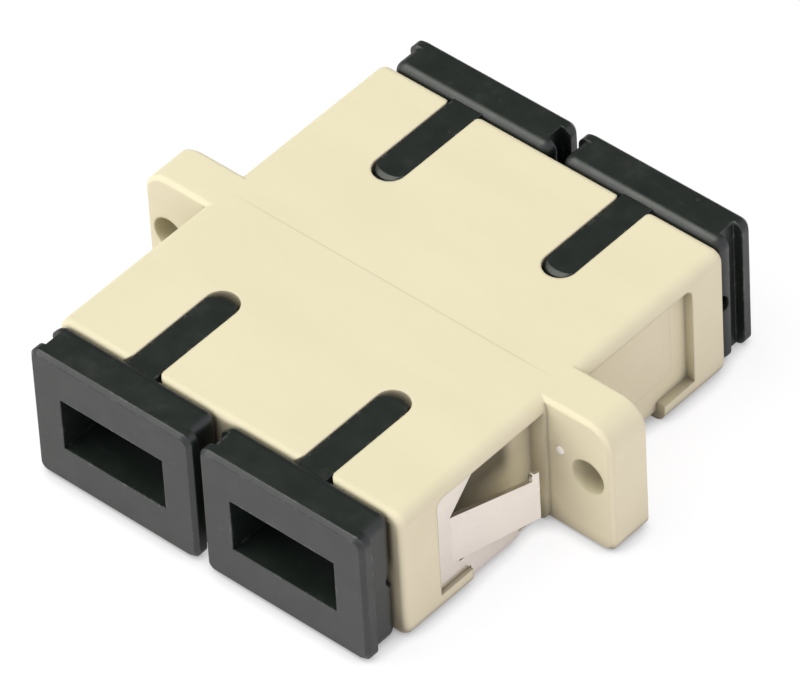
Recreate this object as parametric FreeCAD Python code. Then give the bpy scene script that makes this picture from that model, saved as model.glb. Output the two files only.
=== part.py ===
import FreeCAD, Part
import math
import os
from FreeCAD import Vector

# Duplex fibre optic adapter with square snap-in ports, a panel clip and four dust caps.
# X runs from ear to ear, Y along the fibres and Z up. The origin is the middle of the underside,
# and Y = 0 is the seam between the two housing halves. All sizes are in millimetres.

# Ports
port_pitch = 12.7
port_width = 9.0
port_height = 7.4
port_lead_in = 0.3
key_slot_width = 2.2
key_slot_length = 7.65
key_slot_mouth_radius = 0.6

# Housing walls and outer form
side_wall = 1.95
top_wall = 0.95
bottom_wall = 0.95
half_length = 13.7
long_edge_radius = 0.8
end_edge_radius = 0.45

# Mounting ears, half of the flange on each housing half
ear_thickness = 1.6
ear_hole_diameter = 2.3
ear_hole_from_side = 2.85
ear_hole_from_end = 1.75
ear_hole_height = 5.1
ear_top_radius = 1.7
ear_bottom_radius = 0.8
ear_face_chamfer = 0.25

# Clip pockets on both sides of each half, deeper behind the tongue, and the groove for the clip's strap
pocket_depth = 0.6
pocket_start = 1.9
pocket_end = 10.85
pocket_top_margin = 0.8
pocket_corner_radius = 0.6
pocket_lip_height = 1.3
relief_depth = 0.5
relief_margin = 0.1
strap_groove_start = 4.0
strap_groove_end = 8.2
core_corner_chamfer = 0.3

# Latch inserts: flange, half sleeve holder and two hooks
flange_thickness = 1.1
flange_side_lap = 0.45
flange_top_lap = 0.35
flange_clearance = 0.05
holder_wall = 0.7
holder_lip_thickness = 0.6
holder_mouth_diameter = 2.9
holder_mouth_chamfer = 0.3
hook_reach = 8.1
hook_height = 3.2
hook_thickness = 0.75
hook_plug_gap = 0.2
hook_beak_depth = 0.55
hook_beak_length = 1.1
hook_root_radius = 0.3

# Alignment sleeves
sleeve_bore_diameter = 2.5
sleeve_wall = 0.35
sleeve_length = 11.4
sleeve_slit = 0.5
sleeve_radial_clearance = 0.05
sleeve_end_clearance = 0.1

# Panel clip
clip_sheet = 0.3
clip_clearance = 0.05
clip_strip_width = 1.2
clip_gusset_length = 2.2
clip_gusset_height = 2.25
clip_foot_height = 1.0
clip_bend_radius = 0.35
clip_slit = 0.3
strap_side_clearance = 0.1
tongue_gusset_gap = 0.05
tongue_taper = 0.45
tongue_length = 5.85
tongue_angle = 14.6
tongue_bend_radius = 0.5
tongue_nib_height = 0.5
tongue_nib_width = 0.45
tongue_corner_radius = 0.15

# Dust caps
cap_spacing = 0.6
cap_seat_gap = 0.05
cap_rise = 0.15
cap_foot_gap = 0.05
cap_corner_radius = 0.7
cap_face_chamfer = 0.25
cap_inner_radius = 0.6
cap_collar_thickness = 0.8
cap_groove_width = 1.2
cap_groove_depth = 0.65
cap_recess_depth = 0.35
cap_plate_thickness = 0.8
cap_notch_radius = 0.7
cap_window_width = 7.7
cap_window_height = 3.8
cap_window_depth = 3.05
cap_septum = 1.0
plug_length = 8.5
plug_wall = 0.5
plug_top_wall = 0.7
plug_clearance = 0.05
plug_tip_taper = 0.2
key_rib_clearance = 0.05
key_rib_below_top = 0.1
key_rib_end_gap = 0.2
key_rib_end_chamfer = 0.45

# Cutting tools reach this far past the faces that they open
overshoot = 1.0

# Sizes that follow from the ones above
body_width = port_pitch + port_width + 2 * side_wall
body_height = port_height + top_wall + bottom_wall
port_centre_z = bottom_wall + port_height / 2
ear_hole_x = body_width / 2 + ear_hole_from_side
ear_end_x = ear_hole_x + ear_hole_from_end
pocket_floor_x = body_width / 2 - pocket_depth
pocket_top_z = body_height - pocket_top_margin
strap_groove_depth = clip_sheet + 2 * clip_clearance
flange_width = port_width + 2 * flange_side_lap
flange_height = port_height + 2 * flange_top_lap
sleeve_radius = sleeve_bore_diameter / 2 + sleeve_wall
clip_corner_radius = pocket_corner_radius - clip_clearance
clip_hinge_y = -pocket_end + clip_clearance + clip_strip_width
clip_foot_z = pocket_lip_height + clip_clearance
clip_foot_top_z = clip_foot_z + clip_foot_height
tongue_low_z = clip_foot_top_z + clip_slit
holder_bore_radius = sleeve_radius + sleeve_radial_clearance
holder_radius = holder_bore_radius + holder_wall
holder_bore_length = sleeve_length / 2 + sleeve_end_clearance
cap_head_thickness = cap_collar_thickness + cap_groove_width + cap_plate_thickness
cap_inner_y = half_length + cap_seat_gap
cap_outer_y = cap_inner_y + cap_head_thickness


def in_xz(u, v, level):
    return Vector(u, level, v)


def in_yz(u, v, level):
    return Vector(level, u, v)


def in_xy(u, v, level):
    return Vector(u, v, level)


def outline(corners, place, level):
    """Closed wire through corners (u, v, radius), with an arc at each corner that has a radius."""
    starts = []
    middles = []
    ends = []
    for index, (u, v, radius) in enumerate(corners):
        corner = Vector(u, v, 0)
        before = Vector(corners[index - 1][0], corners[index - 1][1], 0) - corner
        after_corner = corners[(index + 1) % len(corners)]
        after = Vector(after_corner[0], after_corner[1], 0) - corner
        before.normalize()
        after.normalize()
        if radius > 0:
            half_angle = before.getAngle(after) / 2
            inward = (before + after).normalize()
            centre = corner + inward * (radius / math.sin(half_angle))
            starts.append(corner + before * (radius / math.tan(half_angle)))
            middles.append(centre - inward * radius)
            ends.append(corner + after * (radius / math.tan(half_angle)))
        else:
            starts.append(corner)
            middles.append(None)
            ends.append(corner)
    edges = []
    for index, middle in enumerate(middles):
        start, end = [place(p.x, p.y, level) for p in (starts[index], ends[index])]
        previous = ends[index - 1]
        previous = place(previous.x, previous.y, level)
        if previous.distanceToPoint(start) > 1e-6:
            edges.append(Part.makeLine(previous, start))
        if middle is not None:
            edges.append(Part.Arc(start, place(middle.x, middle.y, level), end).toShape())
    return Part.Wire(edges)


def prism(corners, place, low, high):
    """Solid on a closed outline, from one level to the other across its plane."""
    face = Part.Face(outline(corners, place, low))
    return face.extrude(place(0, 0, high) - place(0, 0, low))


def rectangle(u_low, u_high, v_low, v_high, radius=0.0):
    return [(u_low, v_low, radius), (u_high, v_low, radius), (u_high, v_high, radius), (u_low, v_high, radius)]


def centred_rectangle(width, height, u, v, radius=0.0):
    return rectangle(u - width / 2, u + width / 2, v - height / 2, v + height / 2, radius)


def box(x_low, x_high, y_low, y_high, z_low, z_high):
    return Part.makeBox(x_high - x_low, y_high - y_low, z_high - z_low, Vector(x_low, y_low, z_low))


def rod(radius, x, z, y_low, y_high):
    return Part.makeCylinder(radius, y_high - y_low, Vector(x, y_low, z), Vector(0, 1, 0))


def tapered(width, height, x, z, spread, y_narrow, y_wide):
    """Block round x, z that widens by spread on every side from one Y to the other."""
    narrow = outline(centred_rectangle(width, height, x, z), in_xz, y_narrow)
    wide = outline(centred_rectangle(width + 2 * spread, height + 2 * spread, x, z), in_xz, y_wide)
    return Part.makeLoft([narrow, wide], True, True)


def edges_at_y(shape, y):
    """Every edge that lies in the plane at this Y."""
    return [edge for edge in shape.Edges
            if abs(edge.BoundBox.YMin - y) < 1e-6 and abs(edge.BoundBox.YMax - y) < 1e-6]


def turned_end_for_end(shape):
    turned = shape.copy()
    turned.rotate(Vector(0, 0, 0), Vector(0, 0, 1), 180)
    return turned


def mirrored_left_right(shape):
    return shape.mirror(Vector(0, 0, 0), Vector(1, 0, 0))


def shifted(shape, x):
    moved = shape.copy()
    moved.translate(Vector(x, 0, 0))
    return moved


def port_cut(x):
    """One port from its mouth to the seam: lead-in, square bore, flange recess and key slot."""
    bore = prism(centred_rectangle(port_width, port_height, x, port_centre_z),
                 in_xz, -half_length - overshoot, overshoot)
    lead_in = tapered(port_width, port_height, x, port_centre_z, port_lead_in,
                      -half_length + port_lead_in, -half_length)
    recess = prism(centred_rectangle(flange_width + 2 * flange_clearance,
                                     flange_height + 2 * flange_clearance, x, port_centre_z),
                   in_xz, -flange_thickness, overshoot)
    slot_end = -half_length + key_slot_length
    slot_half = key_slot_width / 2
    flare = slot_half + 2 * key_slot_mouth_radius
    slot = prism([(x - flare, -half_length - overshoot, 0),
                  (x + flare, -half_length - overshoot, 0),
                  (x + flare, -half_length, 0),
                  (x + slot_half, -half_length, key_slot_mouth_radius),
                  (x + slot_half, slot_end, slot_half),
                  (x - slot_half, slot_end, slot_half),
                  (x - slot_half, -half_length, key_slot_mouth_radius),
                  (x - flare, -half_length, 0)],
                 in_xy, port_centre_z, body_height + overshoot)
    return bore.fuse([lead_in, recess, slot])


def around_core(y_near, y_far, core_floor_z):
    """Everything outside the pocket floors and below the pocket tops, over a length of the half."""
    reach = body_width / 2 + overshoot
    slab = box(-reach, reach, -y_far, -y_near, -overshoot, pocket_top_z)
    core = prism([(-pocket_floor_x, core_floor_z + core_corner_chamfer, 0),
                  (-pocket_floor_x + core_corner_chamfer, core_floor_z, 0),
                  (pocket_floor_x - core_corner_chamfer, core_floor_z, 0),
                  (pocket_floor_x, core_floor_z + core_corner_chamfer, 0),
                  (pocket_floor_x, body_height + overshoot, 0),
                  (-pocket_floor_x, body_height + overshoot, 0)],
                 in_xz, -y_far - overshoot, -y_near + overshoot)
    return slab.cut(core)


def clip_pockets():
    """The side pockets with their reliefs, open below as far as the lip, and the strap groove."""
    reach = body_width / 2 + overshoot
    behind_lip = prism([(-strap_groove_end - overshoot / 2, pocket_lip_height, 0),
                        (-strap_groove_end - overshoot / 2, pocket_top_z, 0),
                        (-pocket_end, pocket_top_z, pocket_corner_radius),
                        (-pocket_end, pocket_lip_height, 0)],
                       in_yz, pocket_floor_x, reach)
    joining = box(pocket_floor_x, reach, -strap_groove_end - overshoot / 2, -strap_groove_end + overshoot / 2,
                  pocket_lip_height, pocket_top_z)
    relief = box(pocket_floor_x - relief_depth, reach, clip_hinge_y + relief_margin, -pocket_start,
                 tongue_low_z, pocket_top_z)
    side = behind_lip.fuse([joining, relief])
    open_part = around_core(pocket_start, strap_groove_end, 0)
    groove = around_core(strap_groove_start, strap_groove_end, strap_groove_depth)
    return side.fuse([mirrored_left_right(side), open_part, groove])


def housing_half():
    """The front half. The rear half is the same moulding turned end for end."""
    body = prism(rectangle(-body_width / 2, body_width / 2, 0, body_height, long_edge_radius),
                 in_xz, -half_length, 0)
    body = body.makeFillet(end_edge_radius, edges_at_y(body, -half_length))
    ears = prism([(-ear_end_x, 0, ear_bottom_radius), (ear_end_x, 0, ear_bottom_radius),
                  (ear_end_x, body_height, ear_top_radius), (-ear_end_x, body_height, ear_top_radius)],
                 in_xz, -ear_thickness, 0)
    ears = ears.makeChamfer(ear_face_chamfer, edges_at_y(ears, -ear_thickness))
    half = body.fuse(ears)
    cuts = [port_cut(port_pitch / 2), port_cut(-port_pitch / 2), clip_pockets()]
    for side in (-1, 1):
        cuts.append(rod(ear_hole_diameter / 2, side * ear_hole_x, ear_hole_height,
                        -ear_thickness - overshoot, overshoot))
    return half.cut(cuts).removeSplitter()


def hook():
    """The right-hand hook of an insert: a flat arm with an inward beak, ramped on both sides."""
    outer = port_width / 2 - plug_clearance - plug_wall - hook_plug_gap
    inner = outer - hook_thickness
    beak = inner - hook_beak_depth
    ramp = hook_beak_length / 3
    corners = [(outer, 0, 0),
               (outer, -hook_reach, 0),
               (inner - hook_beak_depth / 3, -hook_reach, 0),
               (beak, -hook_reach + 2 * ramp, 0),
               (inner, -hook_reach + 3 * ramp, 0),
               (inner, -flange_thickness, hook_root_radius),
               (inner - hook_root_radius * 2, -flange_thickness, 0),
               (inner - hook_root_radius * 2, 0, 0)]
    return prism(corners, in_xy, -hook_height / 2, hook_height / 2)


def latch_insert():
    """Front insert of a port at x = 0 and z = 0, with its flange's back on the seam plane."""
    flange = prism(centred_rectangle(flange_width, flange_height, 0, 0), in_xz, -flange_thickness, 0)
    holder_end = -holder_bore_length - holder_lip_thickness
    holder = rod(holder_radius, 0, 0, holder_end, 0)
    right_hook = hook()
    insert = flange.fuse([holder, right_hook, mirrored_left_right(right_hook)])
    bore = rod(holder_bore_radius, 0, 0, -holder_bore_length, overshoot)
    mouth = rod(holder_mouth_diameter / 2, 0, 0, holder_end - overshoot, 0)
    funnel = Part.makeCone(holder_mouth_diameter / 2 + holder_mouth_chamfer, holder_mouth_diameter / 2,
                           holder_mouth_chamfer, Vector(0, holder_end, 0), Vector(0, 1, 0))
    return insert.cut([bore, mouth, funnel]).removeSplitter()


def alignment_sleeve():
    """Tube with one slit along its top, centred on the origin."""
    tube = rod(sleeve_radius, 0, 0, -sleeve_length / 2, sleeve_length / 2)
    tube = tube.cut(rod(sleeve_bore_diameter / 2, 0, 0, -sleeve_length, sleeve_length))
    slit = box(-sleeve_slit / 2, sleeve_slit / 2, -sleeve_length, sleeve_length, 0, sleeve_radius + overshoot)
    return tube.cut(slit)


def clip_tongue(inner_x, outer_x, hinge_y, low_z, high_z):
    """Right-hand tongue, bent outwards at the front strip, with a nib at its free end's top."""
    angle = math.radians(tongue_angle)
    centre = Vector(outer_x + tongue_bend_radius, hinge_y, 0)
    along = Vector(math.sin(angle), math.cos(angle), 0)
    half_way = Vector(-math.cos(angle / 2), math.sin(angle / 2), 0)
    turned = Vector(-math.cos(angle), math.sin(angle), 0)
    root = Vector(0, clip_strip_width / 2, 0)
    tight = tongue_bend_radius
    wide = tongue_bend_radius + outer_x - inner_x
    tight_start = Vector(outer_x, hinge_y, 0)
    wide_start = Vector(inner_x, hinge_y, 0)
    tight_end = centre + turned * tight
    wide_end = centre + turned * wide
    straight = along * tongue_length
    edges = [Part.makeLine(wide_start - root, tight_start - root),
             Part.makeLine(tight_start - root, tight_start),
             Part.Arc(tight_start, centre + half_way * tight, tight_end).toShape(),
             Part.makeLine(tight_end, tight_end + straight),
             Part.makeLine(tight_end + straight, wide_end + straight),
             Part.makeLine(wide_end + straight, wide_end),
             Part.Arc(wide_end, centre + half_way * wide, wide_start).toShape(),
             Part.makeLine(wide_start, wide_start - root)]
    band = Part.Face(Part.Wire(edges)).extrude(Vector(0, 0, body_height))
    end_y = (tight_end + straight).y
    end_z = high_z - tongue_taper
    sides = prism([(hinge_y - clip_strip_width, low_z, 0),
                   (end_y + overshoot, low_z, 0),
                   (end_y + overshoot, end_z + tongue_nib_height, 0),
                   (end_y - tongue_nib_width, end_z + tongue_nib_height, tongue_corner_radius),
                   (end_y - tongue_nib_width, end_z, 0),
                   (hinge_y, high_z, 0),
                   (hinge_y - clip_strip_width, high_z, 0)],
                  in_yz, 0, body_width)
    return band.common(sides)


def panel_clip():
    """One stamping: two side plates with lanced tongues, joined by a strap under the body."""
    inner_x = pocket_floor_x + clip_clearance
    outer_x = inner_x + clip_sheet
    front_y = -pocket_end + clip_clearance
    top_z = pocket_top_z - clip_clearance
    hinge_y = clip_hinge_y
    strap_front_y = -strap_groove_end + strap_side_clearance
    strap_back_y = -strap_groove_start - strap_side_clearance
    tongue_high_z = top_z - clip_gusset_height - tongue_gusset_gap
    slit_end_y = hinge_y + clip_strip_width / 2
    plate = prism([(front_y, clip_foot_z, 0),
                   (front_y, top_z, clip_corner_radius),
                   (hinge_y + clip_gusset_length, top_z, 0),
                   (hinge_y, top_z - clip_gusset_height, 0),
                   (hinge_y, tongue_high_z, 0),
                   (hinge_y, tongue_low_z, 0),
                   (slit_end_y, tongue_low_z, 0),
                   (slit_end_y, clip_foot_top_z, 0),
                   (strap_back_y, clip_foot_top_z, 0),
                   (strap_back_y, clip_foot_z, 0)],
                  in_yz, inner_x, outer_x)
    band_outer = prism([(-outer_x, clip_clearance, clip_bend_radius + clip_sheet),
                        (outer_x, clip_clearance, clip_bend_radius + clip_sheet),
                        (outer_x, clip_foot_top_z, 0),
                        (-outer_x, clip_foot_top_z, 0)],
                       in_xz, strap_front_y, strap_back_y)
    band_inner = prism([(-inner_x, clip_clearance + clip_sheet, clip_bend_radius),
                        (inner_x, clip_clearance + clip_sheet, clip_bend_radius),
                        (inner_x, clip_foot_top_z + overshoot, 0),
                        (-inner_x, clip_foot_top_z + overshoot, 0)],
                       in_xz, strap_front_y - overshoot, strap_back_y + overshoot)
    strap = band_outer.cut(band_inner)
    side = plate.fuse(clip_tongue(inner_x, outer_x, hinge_y, tongue_low_z, tongue_high_z))
    return side.fuse([mirrored_left_right(side), strap]).removeSplitter()


def cap_head():
    """Square head of a front cap at x = 0, grooved on its left side and recessed on its right."""
    half_width = (port_pitch - cap_spacing) / 2
    low = cap_foot_gap
    high = body_height + cap_rise
    plate_back_y = -cap_outer_y + cap_plate_thickness
    plate = prism(rectangle(-half_width, half_width, low, high, cap_corner_radius),
                  in_xz, -cap_outer_y, plate_back_y)
    plate = plate.makeChamfer(cap_face_chamfer, edges_at_y(plate, -cap_outer_y))
    core = prism(rectangle(-half_width, half_width - cap_recess_depth, low, high, cap_corner_radius),
                 in_xz, plate_back_y, -cap_inner_y)
    core = core.makeFillet(cap_inner_radius, edges_at_y(core, -cap_inner_y))
    groove = box(-half_width - overshoot, -half_width + cap_groove_depth,
                 plate_back_y, plate_back_y + cap_groove_width, low - overshoot, high + overshoot)
    notches = []
    for notch_x in (-half_width - overshoot, half_width - cap_recess_depth - cap_groove_depth):
        start = Vector(notch_x, -cap_inner_y, port_centre_z)
        notches.append(Part.makeCylinder(cap_notch_radius, cap_groove_depth + overshoot, start, Vector(1, 0, 0)))
    return plate.fuse(core).cut([groove] + notches)


def key_rib():
    """Rib that fills the key slot, flared at its root like the slot's mouth and bevelled at its end."""
    end_y = -half_length + key_slot_length - key_rib_end_gap
    half_width = key_slot_width / 2 - key_rib_clearance
    root = half_width + key_slot_mouth_radius
    top_z = body_height - key_rib_below_top
    back_y = -cap_inner_y - cap_collar_thickness
    rib = prism([(-root, back_y, 0), (root, back_y, 0), (root, -cap_inner_y, 0),
                 (half_width, -cap_inner_y, key_slot_mouth_radius), (half_width, end_y, half_width),
                 (-half_width, end_y, half_width), (-half_width, -cap_inner_y, key_slot_mouth_radius),
                 (-root, -cap_inner_y, 0)],
                in_xy, port_centre_z, top_z)
    end_edges = [edge for edge in rib.Edges
                 if edge.BoundBox.ZMin > top_z - 1e-6 and edge.BoundBox.YMin > end_y - half_width - 1e-6]
    return rib.makeChamfer(key_rib_end_chamfer, end_edges)


def dust_cap():
    """Front cap of a port at x = 0: head, hollow plug round the holder and hooks, and key rib."""
    plug_width = port_width - 2 * plug_clearance
    plug_height = port_height - 2 * plug_clearance
    plug_tip_y = -cap_inner_y + plug_length
    plug_back_y = -cap_inner_y - cap_collar_thickness
    taper_y = plug_tip_y - plug_tip_taper
    plug = prism(centred_rectangle(plug_width, plug_height, 0, port_centre_z), in_xz, plug_back_y, taper_y)
    tip = tapered(plug_width - 2 * plug_tip_taper, plug_height - 2 * plug_tip_taper, 0, port_centre_z,
                  plug_tip_taper, plug_tip_y, taper_y)
    window_back_y = -cap_outer_y + cap_window_depth
    head_centre_z = (cap_foot_gap + body_height + cap_rise) / 2
    window = prism(centred_rectangle(cap_window_width, cap_window_height, 0, head_centre_z),
                   in_xz, -cap_outer_y - overshoot, window_back_y)
    hollow = prism(centred_rectangle(plug_width - 2 * plug_wall, plug_height - 2 * plug_top_wall,
                                     0, port_centre_z),
                   in_xz, window_back_y + cap_septum, plug_tip_y + overshoot)
    return cap_head().fuse([plug, tip, key_rib()]).cut([window, hollow]).removeSplitter()


def placed_in_ports(name, front_shape):
    """Copies of a front piece for the four ports, with the names that they go by."""
    pieces = {}
    for side, x in (("left", -port_pitch / 2), ("right", port_pitch / 2)):
        pieces[name + "_front_" + side] = shifted(front_shape, x)
        pieces[name + "_rear_" + side] = shifted(turned_end_for_end(front_shape), x)
    return pieces


def build():
    front = housing_half()
    pieces = {"housing_front": front, "housing_rear": turned_end_for_end(front), "panel_clip": panel_clip()}
    insert = latch_insert()
    insert.translate(Vector(0, 0, port_centre_z))
    pieces.update(placed_in_ports("latch_insert", insert))
    pieces.update(placed_in_ports("dust_cap", dust_cap()))
    sleeve = alignment_sleeve()
    sleeve.translate(Vector(0, 0, port_centre_z))
    pieces["alignment_sleeve_left"] = shifted(sleeve, -port_pitch / 2)
    pieces["alignment_sleeve_right"] = shifted(sleeve, port_pitch / 2)
    return pieces


os.makedirs("parts", exist_ok=True)
for node, shape in build().items():
    print(node, "solids", len(shape.Solids), "valid", shape.isValid(), "volume", round(shape.Volume, 3))
    shape.exportStep("parts/" + node + ".step")
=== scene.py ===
import math

import bmesh
import bpy
from mathutils import Matrix, Vector


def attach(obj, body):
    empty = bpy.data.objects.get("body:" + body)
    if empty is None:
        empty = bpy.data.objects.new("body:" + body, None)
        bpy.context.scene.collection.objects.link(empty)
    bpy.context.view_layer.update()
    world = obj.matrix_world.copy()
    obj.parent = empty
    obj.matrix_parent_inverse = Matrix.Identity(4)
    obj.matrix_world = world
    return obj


# Looks of the duplex fibre adapter: its materials, a few small forms that the solids leave out, the white
# table, the light and the photograph's camera. Lengths are millimetres in the frame's axes, unless a comment
# says otherwise, and MM turns them into metres.

MM = 0.001

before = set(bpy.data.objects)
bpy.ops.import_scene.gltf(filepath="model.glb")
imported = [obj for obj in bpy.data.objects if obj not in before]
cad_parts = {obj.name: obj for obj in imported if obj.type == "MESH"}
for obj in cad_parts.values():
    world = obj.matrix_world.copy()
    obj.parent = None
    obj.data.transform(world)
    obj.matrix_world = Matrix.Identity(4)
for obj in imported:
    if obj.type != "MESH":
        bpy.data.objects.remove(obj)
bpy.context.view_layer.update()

# Housing: half the hairline between its halves, half the body's width, the share of it at which the hairline
# begins to fade, and the front of the ears
SEAM_HALF_WIDTH = 0.03
BODY_HALF_WIDTH = 12.8
SEAM_FADES = 0.7
EAR_FRONT_Y = -1.6

# Distances from the seam at which edges begin to soften and are fully soft
EDGE_FREE = 0.1
EDGE_FULL = 0.5

# Side pockets: their floor and top, and the relief in that floor, here with the rear half's Y
POCKET_FLOOR_X = 12.2
POCKET_TOP_Z = 8.5
RELIEF_FLOOR_X = 11.7
RELIEF_NEAR_Y = 1.9
RELIEF_FAR_Y = 9.5
RELIEF_LOW_Z = 2.65

# Painted shade on the floor of the front reliefs, under the pockets' top: the heights between which it
# darkens, and where it fades along Y
POCKET_SHADE_LOW_Z = 4.3
POCKET_SHADE_HIGH_Z = 6.2
POCKET_SHADE_FRONT_Y = -4.4
POCKET_SHADE_BACK_Y = -3.2
# How far off that floor it still shows fully and no more, and over what height it ends at the pocket's top
POCKET_SHADE_FULL_OFF = 0.02
POCKET_SHADE_ENDS = 0.45
POCKET_SHADE_TOP_FADE = 0.1

# Key ribs: half width, top, the middle of the end's arc and the root inside the cap's head
RIB_HALF_WIDTH = 1.06
RIB_TOP_Z = 9.22
RIB_ARC_CENTRE_Y = 7.3
RIB_ROOT_Y = 14.0
RIB_ARC_STEPS = 24
# Each ring of a crest: how deep it lies below the top, and how far its free end stands back
RIB_RINGS = ((0.5, 0.0), (0.12, 0.16), (0.0, 0.5))

# Level covers over the rear reliefs: thickness, rise over the pockets' floor and lap past the reliefs' edges
COVER_THICKNESS = 0.5
COVER_RISE = 0.003
COVER_LAP = 0.02

# Gate mark on the front of the right ear
MARK_X = 13.65
MARK_Z = 5.97
MARK_RADIUS = 0.30
MARK_HEIGHT = 0.18
MARK_RINGS = 5
MARK_STEPS = 20

# Colours, in linear red, green and blue. A plastic or metal has a main colour and a second one in its clouds
CREAM = ((0.797, 0.743, 0.517), (0.772, 0.718, 0.492))
IVORY = ((0.74, 0.70, 0.58), (0.70, 0.66, 0.54))
PALE = ((0.90, 0.85, 0.76), (0.87, 0.82, 0.73))
BLACK = ((0.0095, 0.0145, 0.0112), (0.0140, 0.0190, 0.0155))
STAINLESS = ((0.85, 0.80, 0.715), (0.825, 0.775, 0.695))
BRONZE = ((0.78, 0.53, 0.34), (0.66, 0.42, 0.26))
PAPER = ((0.915, 0.885, 0.91), (0.945, 0.915, 0.94))
# Painted shade deep in crevices and corners
CREVICE_SHADE_BROWN = (0.12, 0.098, 0.06)
# Painted shade high in the front pockets
POCKET_SHADE_OLIVE = (0.085, 0.072, 0.042)
RUBBED_GREY = (0.030, 0.033, 0.030)
FLECK_GREY = (0.050, 0.056, 0.049)
CHIP_GREY = (0.080, 0.088, 0.080)
WHITE = (1.0, 1.0, 1.0)

# Shading nodes: samples, strength of the relief, and how far painted shade reaches in crevices and on the
# table
BEVEL_SAMPLES = 6
BUMP_STRENGTH = 0.5
CREVICE_SAMPLES = 8
CREVICE_REACH = 2.2
CONTACT_SAMPLES = 12
CONTACT_REACH = 1.6

# Stretch of a noise along an axis: below 1 its marks are long there
EVEN = (1.0, 1.0, 1.0)
ACROSS_FLOW = (0.35, 1.0, 1.0)
LONG_IN_X = (0.12, 1.0, 1.0)
LONG_IN_Y = (1.0, 0.25, 1.0)
ROLLED_IN_Y = (1.0, 0.08, 1.0)
ROLLED_IN_Z = (1.0, 1.0, 0.1)

# Table: its size, its drop below the object, how much of it glows to the camera, and the share of that glow
# that reflections show
TABLE_SIZE = 6000.0
TABLE_DROP = 0.02
TABLE_GLOW = 0.82
TABLE_GLOW_MIRRORED = 0.35

# Room: brightness to the camera, around the object and on its dim side, and the cosines at which that side
# begins and is dimmest
BACKDROP_STRENGTH = 1.05
ROOM_COLOUR = (0.975, 0.93, 1.03)
ROOM_BRIGHT = 0.86
ROOM_DIM = 0.10
DIM_SIDE = (-0.498, 0.521, 0.693)
DIM_BEGINS = 0.45
DIM_FULL = 0.90

# Camera, fitted to the photograph: its angles in degrees, the point it looks at, its distance and its lens
CAMERA_AZIMUTH = 43.68
CAMERA_ELEVATION = 43.89
CAMERA_ROLL = -3.47
CAMERA_TARGET = (0.675, -0.303, 5.0)
CAMERA_DISTANCE = 526.02
CAMERA_LENS = 421.65
CAMERA_SENSOR = 36.0
CAMERA_CLIP_START = 10.0
CAMERA_CLIP_END = 50000.0


# Node helpers

def new_material(name):
    """Material with an empty tree, its shader and its output."""
    material = bpy.data.materials.new(name)
    material.use_nodes = True
    tree = material.node_tree
    tree.nodes.clear()
    output = tree.nodes.new("ShaderNodeOutputMaterial")
    shader = tree.nodes.new("ShaderNodeBsdfPrincipled")
    tree.links.new(shader.outputs["BSDF"], output.inputs["Surface"])
    return material, tree, shader


def coordinates(tree, stretch=EVEN):
    """Object coordinates, which are the frame's own metres, stretched along the axes."""
    source = tree.nodes.new("ShaderNodeTexCoord")
    mapping = tree.nodes.new("ShaderNodeMapping")
    mapping.inputs["Scale"].default_value = stretch
    tree.links.new(source.outputs["Object"], mapping.inputs["Vector"])
    return mapping.outputs["Vector"]


def separated(tree):
    """Outputs X, Y and Z of the object coordinates."""
    node = tree.nodes.new("ShaderNodeSeparateXYZ")
    tree.links.new(coordinates(tree), node.inputs[0])
    return node.outputs


def noise(tree, place, per_mm, detail=2.0, roughness=0.5):
    """Noise between 0 and 1 with about this many marks in a millimetre."""
    node = tree.nodes.new("ShaderNodeTexNoise")
    node.inputs["Scale"].default_value = per_mm / MM
    node.inputs["Detail"].default_value = detail
    node.inputs["Roughness"].default_value = roughness
    tree.links.new(place, node.inputs["Vector"])
    return node.outputs["Fac"]


def ranged(tree, value, low, high, at_low=0.0, at_high=1.0, smooth=True):
    """The value, taken from the range low to high to the range at_low to at_high and held at its ends."""
    node = tree.nodes.new("ShaderNodeMapRange")
    node.interpolation_type = "SMOOTHSTEP" if smooth else "LINEAR"
    for socket, number in (("From Min", low), ("From Max", high), ("To Min", at_low), ("To Max", at_high)):
        node.inputs[socket].default_value = number
    tree.links.new(value, node.inputs["Value"])
    return node.outputs["Result"]


def arithmetic(tree, operation, first, second):
    """Result of an operation on two values, each a number or another node's output."""
    node = tree.nodes.new("ShaderNodeMath")
    node.operation = operation
    for socket, value in zip(node.inputs, (first, second)):
        if isinstance(value, (int, float)):
            socket.default_value = value
        else:
            tree.links.new(value, socket)
    return node.outputs["Value"]


def multiplied(tree, *factors):
    """Product of all the factors."""
    product = factors[0]
    for factor in factors[1:]:
        product = arithmetic(tree, "MULTIPLY", product, factor)
    return product


def distance_from(tree, value, middle=0.0):
    """How far an output lies from a number, on either side."""
    return arithmetic(tree, "ABSOLUTE", arithmetic(tree, "SUBTRACT", value, middle), 0.0)


def blended(tree, amount, first, second):
    """Mix of two colours, each a colour or another node's output."""
    node = tree.nodes.new("ShaderNodeMix")
    node.data_type = "RGBA"
    tree.links.new(amount, node.inputs["Factor"])
    for socket, value in ((node.inputs[6], first), (node.inputs[7], second)):
        if isinstance(value, tuple):
            socket.default_value = value + (1.0,)
        else:
            tree.links.new(value, socket)
    return node.outputs[2]


def darkened(colour, share):
    """The colour at this share of its brightness."""
    return tuple(part * share for part in colour)


# Masks and surface relief

def softened_edges(tree, radius):
    """Normal that runs smoothly over every edge, as if it had this small radius, but not over the seam."""
    node = tree.nodes.new("ShaderNodeBevel")
    node.samples = BEVEL_SAMPLES
    from_seam = distance_from(tree, separated(tree)["Y"])
    start = EDGE_FREE * MM
    full = EDGE_FULL * MM
    grown = ranged(tree, from_seam, low=start, high=full, at_high=radius * MM, smooth=False)
    tree.links.new(grown, node.inputs["Radius"])
    return node.outputs["Normal"]


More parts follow.
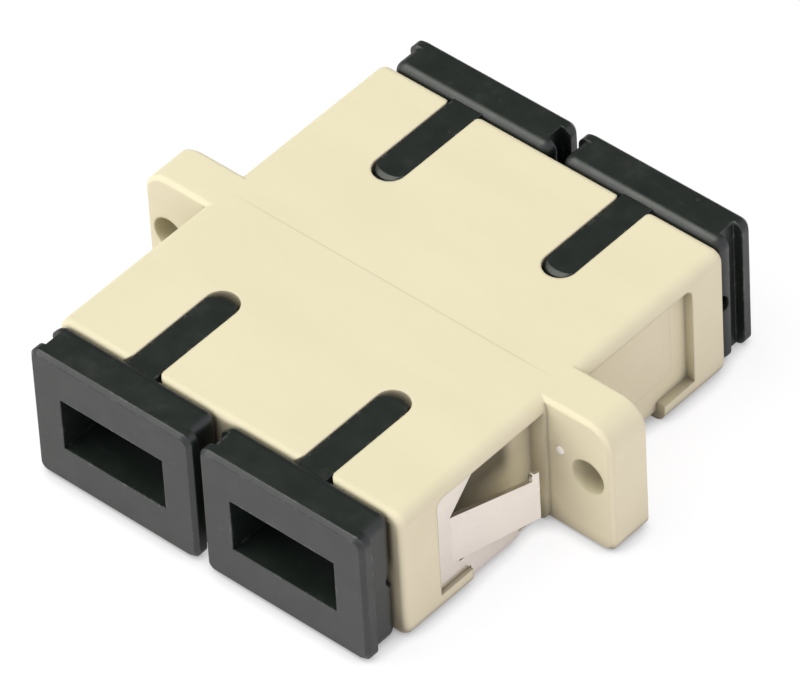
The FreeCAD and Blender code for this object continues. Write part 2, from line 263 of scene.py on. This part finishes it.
def bumped(tree, shader, height, depth, edge):
    """Fine relief of this depth on top of softly broken edges."""
    node = tree.nodes.new("ShaderNodeBump")
    node.inputs["Strength"].default_value = BUMP_STRENGTH
    node.inputs["Distance"].default_value = depth * MM
    tree.links.new(height, node.inputs["Height"])
    tree.links.new(softened_edges(tree, edge), node.inputs["Normal"])
    tree.links.new(node.outputs["Normal"], shader.inputs["Normal"])


def edge_wear(tree, radius):
    """Mask that is 1 along the edges and 0 on flat faces, broken up by noise."""
    surface = tree.nodes.new("ShaderNodeNewGeometry")
    compare = tree.nodes.new("ShaderNodeVectorMath")
    compare.operation = "DOT_PRODUCT"
    tree.links.new(softened_edges(tree, radius), compare.inputs[0])
    tree.links.new(surface.outputs["Normal"], compare.inputs[1])
    near_edge = ranged(tree, compare.outputs["Value"], low=0.80, high=0.99, at_low=1.0, at_high=0.0)
    clouds = noise(tree, coordinates(tree), per_mm=0.9, detail=4.0, roughness=0.65)
    return multiplied(tree, near_edge, ranged(tree, clouds, low=0.38, high=0.62, at_low=0.25))


def painted_crevice_shade(tree):
    """Mask of painted shade that is 1 deep in corners and pockets, where shade falls, and 0 in the open."""
    node = tree.nodes.new("ShaderNodeAmbientOcclusion")
    node.samples = CREVICE_SAMPLES
    node.inputs["Distance"].default_value = CREVICE_REACH * MM
    return ranged(tree, node.outputs["AO"], low=0.28, high=0.82, at_low=1.0, at_high=0.0)


def painted_pocket_shade(tree):
    """Mask of painted shade high in the front pockets, behind the clip, where the pocket's top shades the
    floor.
    """
    place = separated(tree)
    from_middle = distance_from(tree, place["X"])
    off_floor = distance_from(tree, from_middle, RELIEF_FLOOR_X * MM)
    on_floor = ranged(tree, off_floor, low=POCKET_SHADE_FULL_OFF * MM, high=POCKET_SHADE_ENDS * MM, at_low=1.0, at_high=0.0)
    upper = ranged(tree, place["Z"], low=POCKET_SHADE_LOW_Z * MM, high=POCKET_SHADE_HIGH_Z * MM, at_high=0.90)
    top = POCKET_TOP_Z * MM
    end = top + POCKET_SHADE_TOP_FADE * MM
    under_top = ranged(tree, place["Z"], low=top, high=end, at_low=1.0, at_high=0.0, smooth=False)
    front = POCKET_SHADE_FRONT_Y * MM
    back = POCKET_SHADE_BACK_Y * MM
    in_front = ranged(tree, place["Y"], low=front, high=back, at_low=1.0, at_high=0.15)
    return multiplied(tree, on_floor, upper, under_top, in_front)


def seam_line(tree):
    """Mask of the hairline where the two housing halves meet, on the body and not on the ears."""
    place = separated(tree)
    from_seam = distance_from(tree, place["Y"])
    from_middle = distance_from(tree, place["X"])
    half = SEAM_HALF_WIDTH * MM
    end = BODY_HALF_WIDTH * MM
    line = ranged(tree, from_seam, low=half, high=3 * half, at_low=1.0, at_high=0.0)
    inside = ranged(tree, from_middle, low=SEAM_FADES * end, high=end, at_low=1.0, at_high=0.0)
    return multiplied(tree, line, inside)


# Materials

def moulded_plastic(name, colours, roughness, grain_depth, edge=0.22, shade_depth=0.70):
    """Satin moulding: faint flow marks in its colour, an eroded grain and small handling marks, with painted
    shade in crevices, high in the front pockets and on its edges.
    """
    material, tree, shader = new_material(name)
    main, second = colours
    flow = noise(tree, coordinates(tree, ACROSS_FLOW), per_mm=0.22, detail=3.0, roughness=0.55)
    grain = noise(tree, coordinates(tree), per_mm=4.5, detail=3.0, roughness=0.6)
    marks = noise(tree, coordinates(tree, LONG_IN_Y), per_mm=1.3, detail=5.0, roughness=0.7)
    worn_and_shaded = multiplied(tree, edge_wear(tree, edge), 0.80)

    specks = ranged(tree, marks, low=0.70, high=0.80, at_high=0.35)
    colour = blended(tree, ranged(tree, flow, low=0.3, high=0.7), main, second)
    colour = blended(tree, specks, colour, darkened(second, 0.86))
    # Edges painted darker: painted shade that dims the highlight on their rounding; the same mask also makes
    # worn edges rougher
    colour = blended(tree, worn_and_shaded, colour, darkened(main, 0.88))
    # Painted shade: corners and pockets darkened towards brown
    colour = blended(tree, multiplied(tree, painted_crevice_shade(tree), shade_depth), colour, CREVICE_SHADE_BROWN)
    colour = blended(tree, multiplied(tree, seam_line(tree), 0.30), colour, darkened(second, 0.62))
    # Painted shade high in the front pockets, in a dark olive
    colour = blended(tree, painted_pocket_shade(tree), colour, POCKET_SHADE_OLIVE)
    tree.links.new(colour, shader.inputs["Base Color"])

    smoother = roughness - 0.04
    rougher = roughness + 0.06
    rough = ranged(tree, marks, low=0.3, high=0.7, at_low=smoother, at_high=rougher, smooth=False)
    rough = arithmetic(tree, "ADD", rough, multiplied(tree, worn_and_shaded, 0.15))
    tree.links.new(rough, shader.inputs["Roughness"])
    shader.inputs["IOR"].default_value = 1.38
    bumped(tree, shader, grain, grain_depth, edge)
    return material


def cap_plastic(name):
    """Black cap moulding: soft grain, rubbed patches, fine scratches, pale flecks and chipped edges."""
    material, tree, shader = new_material(name)
    main, second = BLACK
    place = coordinates(tree)
    grain = noise(tree, place, per_mm=3.2, detail=3.0, roughness=0.6)
    rub = noise(tree, place, per_mm=0.55, detail=4.0, roughness=0.62)
    hair = noise(tree, coordinates(tree, LONG_IN_X), per_mm=2.6)
    specks = noise(tree, place, per_mm=1.5, detail=5.0, roughness=0.72)
    scratch = ranged(tree, hair, low=0.69, high=0.73)
    chips = multiplied(tree, ranged(tree, specks, low=0.54, high=0.60, at_high=3.0), edge_wear(tree, 0.35))

    colour = blended(tree, ranged(tree, rub, low=0.56, high=0.70), main, second)
    colour = blended(tree, edge_wear(tree, 0.15), colour, RUBBED_GREY)
    colour = blended(tree, ranged(tree, specks, low=0.63, high=0.70, at_high=0.45), colour, FLECK_GREY)
    colour = blended(tree, arithmetic(tree, "MINIMUM", chips, 1.0), colour, CHIP_GREY)
    tree.links.new(colour, shader.inputs["Base Color"])

    rough = ranged(tree, rub, low=0.35, high=0.7, at_low=0.33, at_high=0.45, smooth=False)
    rough = arithmetic(tree, "ADD", rough, multiplied(tree, scratch, 0.08))
    tree.links.new(rough, shader.inputs["Roughness"])
    shader.inputs["IOR"].default_value = 1.6
    height = arithmetic(tree, "SUBTRACT", grain, multiplied(tree, scratch, 0.5))
    bumped(tree, shader, height, depth=0.004, edge=0.12)
    return material


def rolled_metal(name, colours, stretch):
    """Rolled strip: fine lines along the strip, cloudy tarnish and a slight waviness."""
    material, tree, shader = new_material(name)
    main, second = colours
    lines = noise(tree, coordinates(tree, stretch), per_mm=5.0)
    clouds = noise(tree, coordinates(tree), per_mm=0.35)
    colour = blended(tree, ranged(tree, clouds, low=0.35, high=0.65), main, second)
    tree.links.new(colour, shader.inputs["Base Color"])
    rough = ranged(tree, lines, low=0.3, high=0.7, at_low=0.27, at_high=0.35, smooth=False)
    tree.links.new(rough, shader.inputs["Roughness"])
    shader.inputs["Metallic"].default_value = 1.0
    bumped(tree, shader, lines, depth=0.0001, edge=0.03)
    return material


# Each material by the start of the names of its CAD nodes
finishes = {
    "housing": moulded_plastic("housing_cream", CREAM, roughness=0.50, grain_depth=0.005),
    "latch_insert": moulded_plastic("insert_ivory", IVORY, roughness=0.38, grain_depth=0.004),
    "dust_cap": cap_plastic("cap_black"),
    "panel_clip": rolled_metal("clip_stainless", STAINLESS, ROLLED_IN_Y),
    "alignment_sleeve": rolled_metal("sleeve_bronze", BRONZE, ROLLED_IN_Z),
}
for node_name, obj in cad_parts.items():
    for start, material in finishes.items():
        if node_name.startswith(start):
            obj.data.materials.clear()
            obj.data.materials.append(material)


# Forms that the solids leave to the look: full-width key ribs, level rear pockets and a gate mark on one ear

def added_mesh(name, points, faces, material, body):
    """Object from points in millimetres and faces, which rides on a body of the frame."""
    mesh = bpy.data.meshes.new(name)
    mesh.from_pydata([Vector(point) * MM for point in points], [], faces)
    shell = bmesh.new()
    shell.from_mesh(mesh)
    bmesh.ops.recalc_face_normals(shell, faces=shell.faces)
    shell.to_mesh(mesh)
    shell.free()
    mesh.materials.append(material)
    obj = bpy.data.objects.new(name, mesh)
    bpy.context.scene.collection.objects.link(obj)
    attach(obj, body)
    return obj


def ring_faces(rings, count):
    """Four-sided faces between each ring of points and the next, where each ring has this many points."""
    faces = []
    for level in range(rings - 1):
        for index in range(count):
            following = (index + 1) % count
            faces.append([level * count + index, level * count + following,
                          (level + 1) * count + following, (level + 1) * count + index])
    return faces


def middle_x(node_name):
    """Middle of a CAD node along X."""
    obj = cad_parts[node_name]
    reach = [(obj.matrix_world @ Vector(corner)).x for corner in obj.bound_box]
    return (min(reach) + max(reach)) / 2 / MM


def rib_crest(end, side):
    """Top of a cap's key rib at its full width, with a bevel only round its free end."""
    centre = middle_x("dust_cap_" + end + "_" + side)
    outward = -1.0 if end == "front" else 1.0
    points = []
    for depth, setback in RIB_RINGS:
        z = RIB_TOP_Z - depth
        points.append((centre + RIB_HALF_WIDTH, outward * RIB_ROOT_Y, z))
        for step in range(RIB_ARC_STEPS + 1):
            angle = math.pi * step / RIB_ARC_STEPS
            reach = RIB_ARC_CENTRE_Y - (RIB_HALF_WIDTH - setback) * math.sin(angle)
            points.append((centre + RIB_HALF_WIDTH * math.cos(angle), outward * reach, z))
        points.append((centre - RIB_HALF_WIDTH, outward * RIB_ROOT_Y, z))
    count = RIB_ARC_STEPS + 3
    top = list(range(len(points) - count, len(points)))
    faces = [top] + ring_faces(len(RIB_RINGS), count)
    name = "key_rib_crest_" + end + "_" + side
    added_mesh(name, points, faces, finishes["dust_cap"], "cap_" + end + "_" + side)


def pocket_floor(side, sign, material):
    """Level floor over the relief in a rear side pocket, which has no tongue in front of it."""
    outer = POCKET_FLOOR_X + COVER_RISE
    across = (sign * (outer - COVER_THICKNESS), sign * outer)
    along = (RELIEF_NEAR_Y, RELIEF_FAR_Y + COVER_LAP)
    upward = (RELIEF_LOW_Z - COVER_LAP, POCKET_TOP_Z)
    points = [(x, y, z) for x in across for y in along for z in upward]
    faces = [(0, 1, 3, 2), (4, 5, 7, 6), (0, 1, 5, 4), (2, 3, 7, 6), (0, 2, 6, 4), (1, 3, 7, 5)]
    added_mesh("pocket_floor_" + side, points, faces, material, "adapter")


def ear_gate_mark(material):
    """Small round gate mark on the front of the right ear."""
    points = []
    for ring in range(MARK_RINGS):
        angle = math.pi / 2 * ring / MARK_RINGS
        radius = MARK_RADIUS * math.cos(angle)
        y = EAR_FRONT_Y - MARK_HEIGHT * math.sin(angle)
        for step in range(MARK_STEPS):
            turn = 2 * math.pi * step / MARK_STEPS
            points.append((MARK_X + radius * math.cos(turn), y, MARK_Z + radius * math.sin(turn)))
    faces = ring_faces(MARK_RINGS, MARK_STEPS)
    tip = len(points)
    last = tip - MARK_STEPS
    points.append((MARK_X, EAR_FRONT_Y - MARK_HEIGHT, MARK_Z))
    for step in range(MARK_STEPS):
        faces.append([last + step, last + (step + 1) % MARK_STEPS, tip])
    mark = added_mesh("ear_gate_mark", points, faces, material, "adapter")
    for polygon in mark.data.polygons:
        polygon.use_smooth = True


for end in ("front", "rear"):
    for side in ("left", "right"):
        rib_crest(end, side)
level_cream = moulded_plastic("housing_cream_level", CREAM, roughness=0.50, grain_depth=0.005, edge=0.0)
for side, sign in (("left", -1), ("right", 1)):
    pocket_floor(side, sign, level_cream)
ear_gate_mark(moulded_plastic("gate_mark_pale", PALE, roughness=0.25, grain_depth=0.002, shade_depth=0.0))


# Table and light

def table_material():
    """White table: bright to the camera and partly in reflections, with a painted contact shadow where the
    object touches it.
    """
    material, tree, shader = new_material("floor_white")
    main, second = PAPER
    clouds = noise(tree, coordinates(tree), per_mm=0.05)
    tree.links.new(blended(tree, clouds, main, second), shader.inputs["Base Color"])
    shader.inputs["Roughness"].default_value = 0.7

    glow = tree.nodes.new("ShaderNodeEmission")
    glow.inputs["Color"].default_value = WHITE + (1.0,)
    # Painted contact shadow: the glow dims where the object hides the table
    contact = tree.nodes.new("ShaderNodeAmbientOcclusion")
    contact.samples = CONTACT_SAMPLES
    contact.inputs["Distance"].default_value = CONTACT_REACH * MM
    openness = contact.outputs["AO"]
    strength = ranged(tree, openness, low=0.05, high=0.75, at_low=0.30, at_high=1.06, smooth=False)
    tree.links.new(strength, glow.inputs["Strength"])

    path = tree.nodes.new("ShaderNodeLightPath")
    mirrored = multiplied(tree, path.outputs["Is Glossy Ray"], TABLE_GLOW_MIRRORED)
    seen = arithmetic(tree, "MAXIMUM", path.outputs["Is Camera Ray"], mirrored)
    mix = tree.nodes.new("ShaderNodeMixShader")
    tree.links.new(multiplied(tree, seen, TABLE_GLOW), mix.inputs["Fac"])
    tree.links.new(shader.outputs["BSDF"], mix.inputs[1])
    tree.links.new(glow.outputs["Emission"], mix.inputs[2])
    output = next(node for node in tree.nodes if node.type == "OUTPUT_MATERIAL")
    tree.links.new(mix.outputs["Shader"], output.inputs["Surface"])
    return material


def table():
    """Wide table just under the object."""
    bpy.ops.mesh.primitive_plane_add(size=TABLE_SIZE * MM, location=(0.0, 0.0, -TABLE_DROP * MM))
    floor = bpy.context.object
    floor.name = "floor"
    floor.data.materials.append(table_material())


def soft_light(name, direction, distance, size, power, colour):
    """Round area light that looks at the object from a direction, with its power in watts."""
    light = bpy.data.lights.new(name, "AREA")
    light.shape = "DISK"
    light.size = size * MM
    light.energy = power
    light.color = colour
    obj = bpy.data.objects.new(name, light)
    bpy.context.scene.collection.objects.link(obj)
    toward = Vector(direction).normalized()
    obj.location = toward * distance * MM
    obj.rotation_euler = toward.to_track_quat("Z", "Y").to_euler()


def room():
    """World: white to the camera, and for the rest a bright room whose far upper side is dim."""
    world = bpy.data.worlds.new("studio")
    bpy.context.scene.world = world
    world.use_nodes = True
    tree = world.node_tree
    tree.nodes.clear()
    seen = tree.nodes.new("ShaderNodeBackground")
    seen.inputs["Color"].default_value = WHITE + (1.0,)
    seen.inputs["Strength"].default_value = BACKDROP_STRENGTH

    place = tree.nodes.new("ShaderNodeTexCoord")
    toward_dim = tree.nodes.new("ShaderNodeVectorMath")
    toward_dim.operation = "DOT_PRODUCT"
    toward_dim.inputs[1].default_value = DIM_SIDE
    tree.links.new(place.outputs["Generated"], toward_dim.inputs[0])
    toward = toward_dim.outputs["Value"]
    strength = ranged(tree, toward, low=DIM_BEGINS, high=DIM_FULL, at_low=ROOM_BRIGHT, at_high=ROOM_DIM)
    around = tree.nodes.new("ShaderNodeBackground")
    around.inputs["Color"].default_value = ROOM_COLOUR + (1.0,)
    tree.links.new(strength, around.inputs["Strength"])

    path = tree.nodes.new("ShaderNodeLightPath")
    mix = tree.nodes.new("ShaderNodeMixShader")
    tree.links.new(path.outputs["Is Camera Ray"], mix.inputs["Fac"])
    tree.links.new(around.outputs["Background"], mix.inputs[1])
    tree.links.new(seen.outputs["Background"], mix.inputs[2])
    output = tree.nodes.new("ShaderNodeOutputWorld")
    tree.links.new(mix.outputs["Shader"], output.inputs["Surface"])


table()
soft_light("overhead", direction=(-0.38, -0.24, 0.89), distance=1300.0, size=1200.0, power=11.6,
           colour=(0.99, 1.0, 0.89))
soft_light("front_left", direction=(-0.62, -0.66, 0.42), distance=1100.0, size=450.0, power=1.3,
           colour=(1.0, 0.98, 0.95))
room()


# Camera, at the photograph's viewing angle

def camera():
    azimuth = math.radians(CAMERA_AZIMUTH)
    elevation = math.radians(CAMERA_ELEVATION)
    roll = math.radians(CAMERA_ROLL)
    back = Vector((math.sin(azimuth) * math.cos(elevation), -math.cos(azimuth) * math.cos(elevation),
                   math.sin(elevation)))
    right = Vector((math.cos(azimuth), math.sin(azimuth), 0.0))
    up = back.cross(right)
    rolled_right = right * math.cos(roll) + up * math.sin(roll)
    rolled_up = up * math.cos(roll) - right * math.sin(roll)
    data = bpy.data.cameras.new("camera")
    data.sensor_width = CAMERA_SENSOR
    data.lens = CAMERA_LENS
    data.clip_start = CAMERA_CLIP_START * MM
    data.clip_end = CAMERA_CLIP_END * MM
    obj = bpy.data.objects.new("camera", data)
    bpy.context.scene.collection.objects.link(obj)
    place = (Vector(CAMERA_TARGET) + back * CAMERA_DISTANCE) * MM
    turn = Matrix((rolled_right, rolled_up, back)).transposed()
    obj.matrix_world = Matrix.Translation(place) @ turn.to_4x4()
    bpy.context.scene.camera = obj


camera()
bpy.context.scene.view_settings.view_transform = "Standard"
